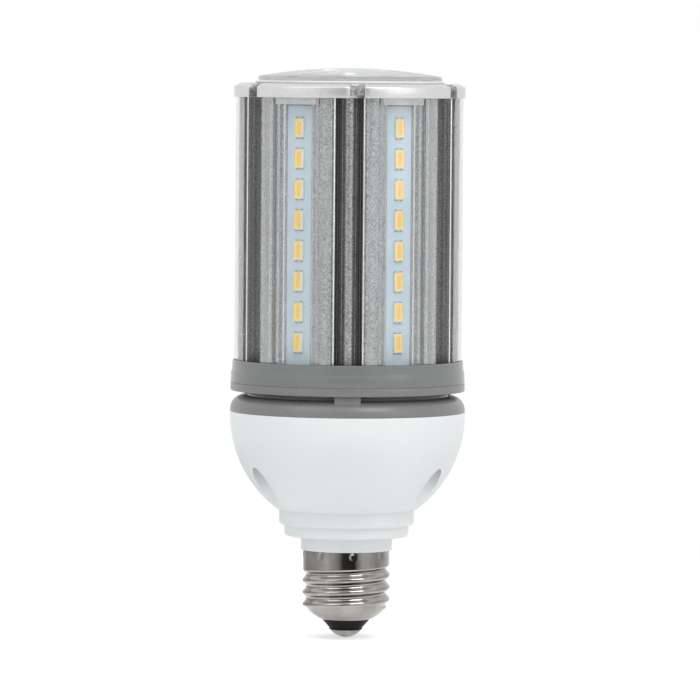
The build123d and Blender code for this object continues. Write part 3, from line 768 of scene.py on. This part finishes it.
def crossed_screws(node, circle, first_angle, face):
    """Copy a group of screws, and cut a cross into the face of each head."""
    screws = dressed(node, SCREW_EDGE)
    bars = []
    for n in range(SCREW_COUNT):
        angle = first_angle + tau * n / SCREW_COUNT
        middle = (circle * cos(angle), circle * sin(angle), face)
        bars.append(block("bar", (CROSS_LENGTH, CROSS_WIDTH, 2 * CROSS_DEPTH), middle))
        bars.append(block("bar", (CROSS_WIDTH, CROSS_LENGTH, 2 * CROSS_DEPTH), middle))
    cutter = joined(bars, "cutter")
    only(screws)
    cut = screws.modifiers.new("cross", "BOOLEAN")
    cut.object = cutter
    cut.solver = "EXACT"
    cut.use_self = True
    bpy.ops.object.modifier_apply(modifier=cut.name)
    bpy.data.objects.remove(cutter)
    smooth(screws, angle=40)
    return screws


low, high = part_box("housing_screws")
pieces["housing_screws"] = crossed_screws("housing_screws", high.y - HEAD_RADIUS, radians(90), low.z)
low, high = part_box("cap_screws")
pieces["cap_screws"] = crossed_screws("cap_screws", high.x - HEAD_RADIUS, 0, high.z)
print("screws:", [len(pieces[node].data.polygons) for node in ("housing_screws", "cap_screws")])

# %% [markdown]
# ## Finishes
# Each finish is a small network of shader nodes that reads the piece's own coordinates in metres, so the
# grain has a real size: a noise scale of 2000 gives grains of about half a millimetre.

# %% Tools for building a finish
def finish(name):
    """A new finish with its main shader and its coordinates."""
    material = bpy.data.materials.new(name)
    material.use_nodes = True
    nodes = material.node_tree.nodes
    shader = nodes["Principled BSDF"]
    place = nodes.new("ShaderNodeTexCoord")
    return material, shader, place.outputs["Object"]


def noise(material, place, scale, detail=2.0, stretch=(1, 1, 1)):
    """Noise of a real size, stretched along an axis where the stretch is under one."""
    nodes, links = material.node_tree.nodes, material.node_tree.links
    mapping = nodes.new("ShaderNodeMapping")
    mapping.inputs["Scale"].default_value = stretch
    grain = nodes.new("ShaderNodeTexNoise")
    grain.inputs["Scale"].default_value = scale
    grain.inputs["Detail"].default_value = detail
    links.new(place, mapping.inputs["Vector"])
    links.new(mapping.outputs["Vector"], grain.inputs["Vector"])
    return grain.outputs["Fac"]


def ramp(material, value, low, high, start=0.35, end=0.65):
    """Turn a value into a colour between two colours."""
    nodes, links = material.node_tree.nodes, material.node_tree.links
    blend = nodes.new("ShaderNodeValToRGB")
    blend.color_ramp.elements[0].position = start
    blend.color_ramp.elements[1].position = end
    blend.color_ramp.elements[0].color = (*low, 1)
    blend.color_ramp.elements[1].color = (*high, 1)
    links.new(value, blend.inputs["Fac"])
    return blend.outputs["Color"]


def span(material, value, low, high, start=0.3, end=0.7):
    """Turn a value into a number between two numbers."""
    nodes, links = material.node_tree.nodes, material.node_tree.links
    change = nodes.new("ShaderNodeMapRange")
    change.inputs["From Min"].default_value = start
    change.inputs["From Max"].default_value = end
    change.inputs["To Min"].default_value = low
    change.inputs["To Max"].default_value = high
    links.new(value, change.inputs["Value"])
    return change.outputs["Result"]


def mixed(tree, operation, first, second):
    """Two values added, multiplied or compared. The second may be a plain number."""
    node = tree.nodes.new("ShaderNodeMath")
    node.operation = operation
    tree.links.new(first, node.inputs[0])
    if isinstance(second, float):
        node.inputs[1].default_value = second
    else:
        tree.links.new(second, node.inputs[1])
    return node.outputs[0]


def greys(tree, value, levels):
    """Turn a value into shades of grey, given as pairs of a position and a shade."""
    shades = tree.nodes.new("ShaderNodeValToRGB")
    elements = shades.color_ramp.elements
    while len(elements) < len(levels):
        elements.new(0.5)
    for element, (position, shade) in zip(elements, levels):
        element.position = position
        element.color = (shade, shade, shade, 1)
    tree.links.new(value, shades.inputs["Fac"])
    return shades.outputs["Color"]


def bump(material, height, depth):
    """Bumps of a real depth on the shader's normal."""
    nodes, links = material.node_tree.nodes, material.node_tree.links
    relief = nodes.new("ShaderNodeBump")
    relief.inputs["Distance"].default_value = depth
    relief.inputs["Strength"].default_value = 1.0
    links.new(height, relief.inputs["Height"])
    links.new(relief.outputs["Normal"], nodes["Principled BSDF"].inputs["Normal"])


def wear(piece, material):
    """Give a piece one finish in place of what it had."""
    piece.data.materials.clear()
    piece.data.materials.append(material)


print("finish tools ready")

# %% [markdown]
# ## Moulded plastic
# The housing is a satin white and the rings are a satin grey. Moulded plastic has an even colour, a very
# fine texture from the mould and a slow change of gloss where the plastic flowed.

# %% White and grey plastic
FLOW_SCALE = 45
TEXTURE_SCALE = 2600
PLASTIC_IOR = 1.5


def moulded_plastic(name, dark, light, roughness, grain_depth):
    """Plastic with a slow drift of colour and gloss, and a fine texture from the mould."""
    material, shader, place = finish(name)
    links = material.node_tree.links
    flow = noise(material, place, FLOW_SCALE, detail=1)
    texture = noise(material, place, TEXTURE_SCALE, detail=2)
    links.new(ramp(material, flow, dark, light, 0, 1), shader.inputs["Base Color"])
    links.new(span(material, flow, *roughness, 0, 1), shader.inputs["Roughness"])
    shader.inputs["IOR"].default_value = PLASTIC_IOR
    bump(material, texture, grain_depth)
    return material


white_plastic = moulded_plastic(
    "white_plastic",
    dark=(0.72, 0.755, 0.765),
    light=(0.75, 0.78, 0.785),
    roughness=(0.34, 0.42),
    grain_depth=0.004 * MM,
)
grey_plastic = moulded_plastic(
    "grey_plastic",
    dark=(0.175, 0.177, 0.174),
    light=(0.185, 0.187, 0.184),
    roughness=(0.24, 0.34),
    grain_depth=0.003 * MM,
)
collar_plastic = moulded_plastic(
    "collar_plastic",
    dark=(0.165, 0.173, 0.171),
    light=(0.178, 0.186, 0.184),
    roughness=(0.14, 0.22),
    grain_depth=0.003 * MM,
)
wear(pieces["driver_housing"], white_plastic)
# The white ring at the foot of the lens is a painted highlight.
wear(pieces["lens_seal"], white_plastic)
for node in ("driver_lid", "collar_base"):
    wear(pieces[node], grey_plastic)
wear(pieces["collar"], collar_plastic)
print("plastics on housing, lid and collars")

# %% [markdown]
# ## Aluminium
# The heat sink is raw extruded aluminium with a matt, sparkling grain, and the cap is blasted to an even
# satin. Both are metals, so their colour comes from what they reflect: the grain is a fine bump that tips
# the reflection from one grain to the next, and a little darkness between the grains. The groove shade
# number of each point darkens the sides of the grooves: painted shade. The paler metal on the edges of
# the heat sink is a painted highlight, and the darker metal in the notches of the cap is painted shade.

# %% Extruded and blasted aluminium
DRAWN_SCALE = 900
SPECKLE_SHARE, DRAWN_SHARE = 0.75, 0.25


def grained_aluminium(name, dark, light, roughness, grain, depth, streak, groove_shade_colour=(1, 1, 1)):
    """Metal with a speckled grain, streaks along the lamp and painted shade that darkens the sides of the
    grooves.
    """
    material, shader, place = finish(name)
    links = material.node_tree.links
    speckle = noise(material, place, grain, detail=1)
    drawn = noise(material, place, DRAWN_SCALE, detail=2, stretch=(1, 1, streak))
    nodes = material.node_tree.nodes
    grains, streaks = span(material, speckle, 0, SPECKLE_SHARE), span(material, drawn, 0, DRAWN_SHARE)
    both = mixed(material.node_tree, "ADD", grains, streaks)
    # Painted shade on the sides of the grooves, read from each point of the mesh.
    groove_shade = nodes.new("ShaderNodeAttribute")
    groove_shade.attribute_name = "groove_shade"
    groove_darkening = nodes.new("ShaderNodeMix")
    groove_darkening.data_type = "RGBA"
    groove_darkening.blend_type = "MULTIPLY"
    groove_darkening.inputs["Factor"].default_value = 1.0
    links.new(ramp(material, both, dark, light, 0.1, 0.9), groove_darkening.inputs["A"])
    links.new(ramp(material, groove_shade.outputs["Fac"], (1, 1, 1), groove_shade_colour, 0.1, 1.0), groove_darkening.inputs["B"])
    links.new(groove_darkening.outputs["Result"], shader.inputs["Base Color"])
    links.new(span(material, speckle, *roughness), shader.inputs["Roughness"])
    shader.inputs["Metallic"].default_value = 1.0
    bump(material, both, depth)
    return material


extrusion = grained_aluminium(
    "extruded_aluminium",
    dark=(0.20, 0.205, 0.205),
    light=(0.62, 0.63, 0.63),
    roughness=(0.5, 0.34),
    grain=2500,
    depth=0.03 * MM,
    streak=0.02,
    groove_shade_colour=(0.52, 0.52, 0.51),
)
# A paler metal for the rounded edges and channel walls of the heat sink: a painted highlight.
edge_highlight_metal = grained_aluminium(
    "painted_edge_highlight",
    dark=(0.66, 0.67, 0.67),
    light=(0.86, 0.87, 0.87),
    roughness=(0.34, 0.24),
    grain=1200,
    depth=0.01 * MM,
    streak=0.2,
)
blasted = grained_aluminium(
    "blasted_aluminium",
    dark=(0.60, 0.605, 0.60),
    light=(0.74, 0.74, 0.735),
    roughness=(0.42, 0.34),
    grain=3200,
    depth=0.008 * MM,
    streak=1.0,
)
# A darker metal for the faces in the notches of the cap: painted shade in the recesses.
notch_shade_metal = grained_aluminium(
    "painted_notch_shade",
    dark=(0.24, 0.24, 0.235),
    light=(0.62, 0.62, 0.61),
    roughness=(0.5, 0.4),
    grain=1500,
    depth=0.03 * MM,
    streak=1.0,
)
for node, metals in {"heat_sink": (extrusion, edge_highlight_metal), "top_cap": (blasted, notch_shade_metal)}.items():
    for slot, metal in zip(pieces[node].material_slots, metals):
        slot.material = metal
print("aluminium on heat sink and cap")

# %% [markdown]
# ## Clear covers and lens
# The covers are thin clear sheets, hazy in the wings beyond their legs, and the top lens is frosted under
# a thin gloss. A solid wall with two faces and a true refractive index bends and mirrors the light as the
# real one does. Clear plastic throws almost no shadow, so covers and lens are left out of shadow and
# diffuse rays, and the LED strips behind them stay evenly lit.

# %% Clear plastic
CLOUD_SCALE = 150
CLEAR_IOR = 1.58
LENS_GLOSS = {"Coat Weight": 0.2, "Coat Roughness": 0.04}


def clear_plastic(name, tint, pale, haze):
    """Clear plastic with a faint cloud in its tint and haze."""
    material, shader, place = finish(name)
    links = material.node_tree.links
    cloud = noise(material, place, CLOUD_SCALE, detail=2)
    links.new(ramp(material, cloud, tint, pale), shader.inputs["Base Color"])
    links.new(span(material, cloud, *haze), shader.inputs["Roughness"])
    shader.inputs["Transmission Weight"].default_value = 1.0
    shader.inputs["IOR"].default_value = CLEAR_IOR
    return material


clear = clear_plastic(
    "clear_plastic", tint=(0.87, 0.88, 0.885), pale=(0.90, 0.91, 0.915), haze=(0.01, 0.04)
)
hazy_edge = clear_plastic(
    "hazy_edge", tint=(0.95, 0.96, 0.965), pale=(0.98, 0.99, 0.995), haze=(0.2, 0.28)
)
frosted = clear_plastic(
    "frosted_lens", tint=(0.93, 0.935, 0.935), pale=(0.99, 0.995, 1.0), haze=(0.28, 0.4)
)
for socket, value in LENS_GLOSS.items():
    frosted.node_tree.nodes["Principled BSDF"].inputs[socket].default_value = value
wear(pieces["top_lens"], frosted)
for side in SIDES:
    pieces[f"led_cover_{side}"].material_slots[0].material = clear
    pieces[f"led_cover_{side}"].material_slots[1].material = hazy_edge
for node in ["top_lens"] + [f"led_cover_{side}" for side in SIDES]:
    pieces[node].visible_shadow = False
    pieces[node].visible_diffuse = False
print("clear plastic on lens and covers")

# %% [markdown]
# ## Screw base
# The shell is bright nickel plate, the ring under it a dark glassy insulator, and the tip a dull tinned
# contact.

# %% Nickel, insulator and tinned contact
PLATE_RIPPLE = 0.004 * MM
INSULATOR_SHINE = 0.08


def plated_metal(name, dark, light, roughness, scale):
    """Plated metal with a cloud of tarnish and a slight ripple."""
    material, shader, place = finish(name)
    links = material.node_tree.links
    cloud = noise(material, place, scale, detail=3)
    links.new(ramp(material, cloud, dark, light), shader.inputs["Base Color"])
    links.new(span(material, cloud, *roughness), shader.inputs["Roughness"])
    shader.inputs["Metallic"].default_value = 1.0
    bump(material, cloud, PLATE_RIPPLE)
    return material


nickel = plated_metal("nickel_plate", (0.31, 0.295, 0.275), (0.41, 0.395, 0.37), (0.06, 0.14), scale=160)
tinned = plated_metal("tinned_contact", (0.34, 0.335, 0.31), (0.50, 0.495, 0.465), (0.35, 0.55), scale=700)
zinc = plated_metal("zinc_plate", (0.50, 0.50, 0.50), (0.64, 0.64, 0.63), (0.25, 0.4), scale=500)
insulator = moulded_plastic(
    "dark_insulator",
    dark=(0.008, 0.008, 0.008),
    light=(0.014, 0.013, 0.012),
    roughness=(0.4, 0.5),
    grain_depth=0.002 * MM,
)
insulator.node_tree.nodes["Principled BSDF"].inputs["Specular IOR Level"].default_value = INSULATOR_SHINE
wear(pieces["base_contact"], tinned)
wear(pieces["base_insulator"], insulator)
wear(pieces["base_shell"], nickel)
for screws in (pieces["housing_screws"], pieces["cap_screws"], frame["nodes"]["heat_sink_screws"]):
    wear(screws, zinc)
print("metals on screw base and screws")

# %% [markdown]
# ## LED strips
# Each strip is a thin board with a pale solder mask, and each LED a white cup filled with a yellow
# phosphor gel.

# %% Boards, packages and phosphor
board_mask = moulded_plastic("solder_mask", (0.50, 0.61, 0.695), (0.53, 0.64, 0.725), (0.3, 0.42), 0.003 * MM)
led_white = moulded_plastic("led_white", (0.82, 0.79, 0.68), (0.88, 0.85, 0.74), (0.3, 0.4), 0.002 * MM)
GEL_MIDDLE, GEL_RIM = (0.90, 0.54, 0.075), (0.92, 0.78, 0.34)
MOTTLE_SCALE = 1500
MOTTLE_SHIFT = 0.12


def phosphor_gel():
    """Yellow gel, deep orange in the middle and pale along the walls of the cup."""
    material, shader, place = finish("phosphor_gel")
    tree = material.node_tree
    rim = tree.nodes.new("ShaderNodeAttribute")
    rim.attribute_name = "rim"
    mottle = noise(material, place, MOTTLE_SCALE, detail=2)
    mottled = span(material, mottle, -MOTTLE_SHIFT, MOTTLE_SHIFT)
    paleness = mixed(tree, "ADD", rim.outputs["Fac"], mottled)
    colour = ramp(material, paleness, GEL_MIDDLE, GEL_RIM, 0.35, 1.0)
    tree.links.new(colour, shader.inputs["Base Color"])
    tree.links.new(span(material, mottle, 0.25, 0.4), shader.inputs["Roughness"])
    return material


phosphor = phosphor_gel()
for node in ["top_board"] + [f"led_board_{side}" for side in SIDES]:
    wear(frame["nodes"][node], board_mask)
for node, piece in pieces.items():
    if "packages" in node:
        wear(piece, led_white)
    if "phosphor" in node:
        wear(piece, phosphor)
    if "feet" in node:
        wear(piece, tinned)
print("finishes on the LED strips")

# %% [markdown]
# ## Inside the housing
# The driver can't be seen, but each of its pieces still has its own finish.

# %% Driver finishes
laminate = moulded_plastic("green_laminate", (0.05, 0.13, 0.05), (0.08, 0.18, 0.07), (0.3, 0.45), 0.003 * MM)
ferrite = moulded_plastic("dark_ferrite", (0.03, 0.03, 0.03), (0.05, 0.05, 0.05), (0.6, 0.75), 0.01 * MM)
sleeve = moulded_plastic("shrink_sleeve", (0.02, 0.025, 0.04), (0.03, 0.035, 0.06), (0.25, 0.35), 0.003 * MM)
wire_white = moulded_plastic(
    "wire_insulation", (0.62, 0.62, 0.60), (0.70, 0.70, 0.68), (0.4, 0.55), 0.003 * MM
)
inside = {
    "driver_board": laminate,
    "transformer": ferrite,
    "choke": ferrite,
    "capacitor": sleeve,
    "live_lead": wire_white,
    "neutral_lead": wire_white,
    "dc_leads": wire_white,
}
for node, material in inside.items():
    wear(frame["nodes"][node], material)
print("finishes on", len(inside), "inner pieces")

# %% [markdown]
# ## Floor, world and lights
# The lamp was photographed in white surroundings. The floor is pale and runs out into white, and the
# world is white to the camera, to metal and to clear plastic, so that all of them show the same
# background. The light on matt surfaces is a little dimmer from the sides than from behind and in front.
# A large soft light stands on the right and a weaker one on the left.

# %% Pale floor
FLOOR_SIZE = 12.0
FLOOR_DROP = 0.2 * MM
FLOOR_TONE = (0.90, 0.90, 0.90, 1)
FLOOR_ROUGHNESS = 0.8
FLOOR_GLOW = 0.35
SHADOW_NEAR = 120 * MM
SHADOW_FAR = 320 * MM

bpy.ops.object.select_all(action="DESELECT")
bpy.ops.mesh.primitive_plane_add(size=FLOOR_SIZE, location=(0, 0, -FLOOR_DROP))
floor = bpy.context.active_object
floor.name = "floor"


def seen_rays(tree):
    """One for rays that show the background: from the camera, off metal and through clear plastic."""
    path = tree.nodes.new("ShaderNodeLightPath")
    total = path.outputs["Is Camera Ray"]
    for name in ("Is Glossy Ray", "Is Transmission Ray"):
        total = mixed(tree, "MAXIMUM", total, path.outputs[name])
    return total


def white_floor():
    """A pale matt floor that keeps the shadow near the lamp and runs out into plain white."""
    material, shader, place = finish("pale_floor")
    tree = material.node_tree
    shader.inputs["Base Color"].default_value = FLOOR_TONE
    shader.inputs["Roughness"].default_value = FLOOR_ROUGHNESS
    seen = seen_rays(tree)
    lift = tree.nodes.new("ShaderNodeEmission")
    tree.links.new(mixed(tree, "MULTIPLY", seen, FLOOR_GLOW), lift.inputs["Strength"])
    lit = tree.nodes.new("ShaderNodeAddShader")
    tree.links.new(shader.outputs[0], lit.inputs[0])
    tree.links.new(lift.outputs[0], lit.inputs[1])
    plain = tree.nodes.new("ShaderNodeEmission")
    plain.inputs["Strength"].default_value = 1.0
    away = tree.nodes.new("ShaderNodeVectorMath")
    away.operation = "LENGTH"
    tree.links.new(place, away.inputs[0])
    fade = tree.nodes.new("ShaderNodeMapRange")
    fade.interpolation_type = "SMOOTHSTEP"
    fade.inputs["From Min"].default_value = SHADOW_NEAR
    fade.inputs["From Max"].default_value = SHADOW_FAR
    tree.links.new(away.outputs["Value"], fade.inputs["Value"])
    blend = tree.nodes.new("ShaderNodeMixShader")
    tree.links.new(mixed(tree, "MULTIPLY", fade.outputs["Result"], seen), blend.inputs["Fac"])
    tree.links.new(lit.outputs[0], blend.inputs[1])
    tree.links.new(plain.outputs[0], blend.inputs[2])
    tree.links.new(blend.outputs[0], tree.nodes["Material Output"].inputs["Surface"])
    return material


wear(floor, white_floor())
settle(floor)
print("floor ready")

# %% World: white where it is seen, a softer studio where it lights matt surfaces
STUDIO = ((0.0, 0.9), (0.4, 0.80), (0.6, 0.77), (1.0, 0.85))

world = bpy.data.worlds.new("studio")
scene.world = world
world.use_nodes = True
tree = world.node_tree
backdrop = tree.nodes["Background"]
backdrop.inputs["Color"].default_value = (1, 1, 1, 1)
backdrop.inputs["Strength"].default_value = 1.0
studio = tree.nodes.new("ShaderNodeBackground")
direction = tree.nodes.new("ShaderNodeTexCoord")
split = tree.nodes.new("ShaderNodeSeparateXYZ")
tree.links.new(direction.outputs["Generated"], split.inputs[0])
forward = tree.nodes.new("ShaderNodeMapRange")
forward.inputs["From Min"].default_value = 1.0
forward.inputs["From Max"].default_value = -1.0
tree.links.new(split.outputs["Y"], forward.inputs["Value"])
tree.links.new(greys(tree, forward.outputs["Result"], STUDIO), studio.inputs["Color"])
choose = tree.nodes.new("ShaderNodeMixShader")
tree.links.new(seen_rays(tree), choose.inputs["Fac"])
tree.links.new(studio.outputs[0], choose.inputs[1])
tree.links.new(backdrop.outputs[0], choose.inputs[2])
tree.links.new(choose.outputs[0], tree.nodes["World Output"].inputs["Surface"])
print("world ready")

# %% Soft lights
LIGHT_HEIGHT = radians(48)
LIGHT_DISTANCE = 1.3
LIGHT_SIZE = 0.7


def softbox(name, side, power):
    """A square soft light above the lamp, turned to it from an angle to the side of the camera."""
    level = cos(LIGHT_HEIGHT)
    out = Vector((level * sin(side), -level * cos(side), sin(LIGHT_HEIGHT)))
    bpy.ops.object.light_add(type="AREA", location=aim + LIGHT_DISTANCE * out)
    light = bpy.context.active_object
    light.name = name
    light.data.size = LIGHT_SIZE
    light.data.energy = power
    light.rotation_euler = out.to_track_quat("Z", "Y").to_euler()


softbox("key_light", radians(34), power=5.6)
softbox("fill_light", radians(-50), power=2.1)
scene.view_settings.view_transform = "Standard"
print("lights ready")

# %% [markdown]
# ## Cards round the lamp
# Bright metal shows what stands round it. In the picture the screw base mirrors a dark camera side, pale
# patches to both sides of it and greyer flanks, so a low printed band with those shades is bent round the
# base. A grey card on the camera's side calms the front of the cap and the collar, two bright panels
# beside it give the cap its soft highlights, and two small ones behind make the marks on the lens. Only
# reflections see these cards.

# %% Printed cards
CARD_STEPS = 60


def printed(name, strength, levels):
    """A card that glows in shades of grey along its length."""
    material, _, _ = finish(name)
    tree = material.node_tree
    along = tree.nodes.new("ShaderNodeAttribute")
    along.attribute_name = "along"
    glow = tree.nodes.new("ShaderNodeEmission")
    glow.inputs["Strength"].default_value = strength
    tree.links.new(greys(tree, along.outputs["Fac"], levels), glow.inputs["Color"])
    tree.links.new(glow.outputs[0], tree.nodes["Material Output"].inputs["Surface"])
    return material


def card(name, distance, near, far, low, high, material):
    """A card that is curved round the lamp, from one angle beside the camera to another."""
    bpy.ops.object.select_all(action="DESELECT")
    bpy.ops.mesh.primitive_grid_add(x_subdivisions=CARD_STEPS, y_subdivisions=1, size=2)
    piece = bpy.context.active_object
    piece.name = name
    along = piece.data.attributes.new("along", "FLOAT", "POINT")
    for index, point in enumerate(piece.data.vertices):
        share = (point.co.x + 1) / 2
        along.data[index].value = share
        side = radians(near + (far - near) * share)
        rise = low + (high - low) * (point.co.y + 1) / 2
        point.co = (distance * sin(side), -distance * cos(side), rise)
    for rays in ("visible_camera", "visible_diffuse", "visible_transmission", "visible_shadow"):
        setattr(piece, rays, False)
    wear(piece, material)


print("cards bend in", CARD_STEPS, "steps")

# %% Cards in place
BAND_DISTANCE = 60 * MM
BAND_HEIGHT = 48 * MM
BAND_END = 155
BAND_SHADES = (
    (-155, 0.80), (-120, 0.50), (-78, 0.57), (-48, 0.88), (-20, 0.46), (-8, 0.06),
    (20, 0.03), (38, 0.86), (52, 0.92), (80, 0.57), (120, 0.90), (155, 1.0),
)
CARD_DISTANCE = 500 * MM
CARD_TOP = 320 * MM
FRONT_LOW, PANEL_LOW = 50 * MM, 120 * MM
FRONT_END = 20
PANEL_NEAR, PANEL_FAR = 38, 64
FRONT_SHADES = ((0.0, 1.0), (0.5, 0.7), (1.0, 1.0))
PANEL_SHADES = ((0.0, 0.6), (0.5, 1.0), (1.0, 0.6))
MARK_DISTANCE = 1000 * MM
MARK_SHADES = ((0.0, 0.9), (1.0, 1.0))
HIGH_MARK = (179.7, 180.3, 450 * MM, 500 * MM)
LOW_MARK = (180.7, 181.1, 280 * MM, 320 * MM)

levels = [((angle + BAND_END) / (2 * BAND_END), shade) for angle, shade in BAND_SHADES]
band = printed("base_band", strength=1.0, levels=levels)
card("base_band", BAND_DISTANCE, -BAND_END, BAND_END, 0, BAND_HEIGHT, band)
front = printed("front_card", strength=0.42, levels=FRONT_SHADES)
card("front_card", CARD_DISTANCE, -FRONT_END, FRONT_END, FRONT_LOW, CARD_TOP, front)
left = printed("left_panel", strength=1.4, levels=PANEL_SHADES)
card("left_panel", CARD_DISTANCE, -PANEL_FAR, -PANEL_NEAR, PANEL_LOW, CARD_TOP, left)
right = printed("right_panel", strength=2.4, levels=PANEL_SHADES)
card("right_panel", CARD_DISTANCE, PANEL_NEAR, PANEL_FAR, PANEL_LOW, CARD_TOP, right)
mark = printed("lens_mark", strength=6.0, levels=MARK_SHADES)
card("lens_mark_high", MARK_DISTANCE, *HIGH_MARK, mark)
card("lens_mark_low", MARK_DISTANCE, *LOW_MARK, mark)
print("cards ready")
